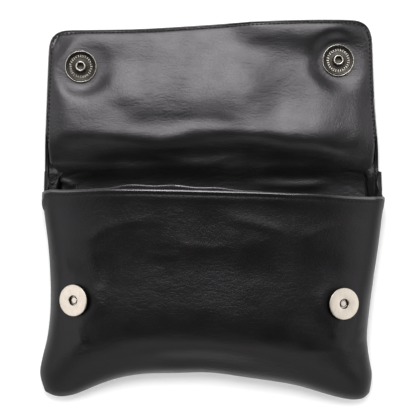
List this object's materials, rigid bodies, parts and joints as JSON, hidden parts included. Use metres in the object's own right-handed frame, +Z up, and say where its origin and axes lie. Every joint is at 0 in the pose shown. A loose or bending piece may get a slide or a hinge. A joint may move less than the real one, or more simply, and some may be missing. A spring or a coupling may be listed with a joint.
{
  "type": "leather belt pouch",
  "caption": "Soft rectangular leather pouch lying on its back with its wide flap laid open, closed by magnetic snaps at both sides.",
  "frame": {"origin": "on the flat underside of the back, near the middle of the open pouch, on the surface that it lies on", "axes": "+Z up, out of the pouch's front; +Y from the pouch towards the flap's free edge; +X to the right of the front"},
  "size_m": [0.1944, 0.215, 0.0365],
  "materials": {
    "black_leather": "soft black leather, fine grain, satin",
    "facing_leather": "smooth black leather with a soft gloss",
    "lining_leather": "thin matt black leather",
    "bright_nickel": "satin pale nickel plate",
    "dark_nickel": "darkened nickel plate, polished rim"
  },
  "bodies": {
    "root": {"front_panel": "black_leather", "back_panel": "black_leather", "left_gusset": "black_leather", "right_gusset": "black_leather", "flap": "black_leather", "flap_facing": "facing_leather", "front_lining": "lining_leather", "body_snap_left": "bright_nickel", "body_snap_right": "bright_nickel", "flap_snap_left": "dark_nickel", "flap_snap_right": "dark_nickel"}
  },
  "joints": []
}
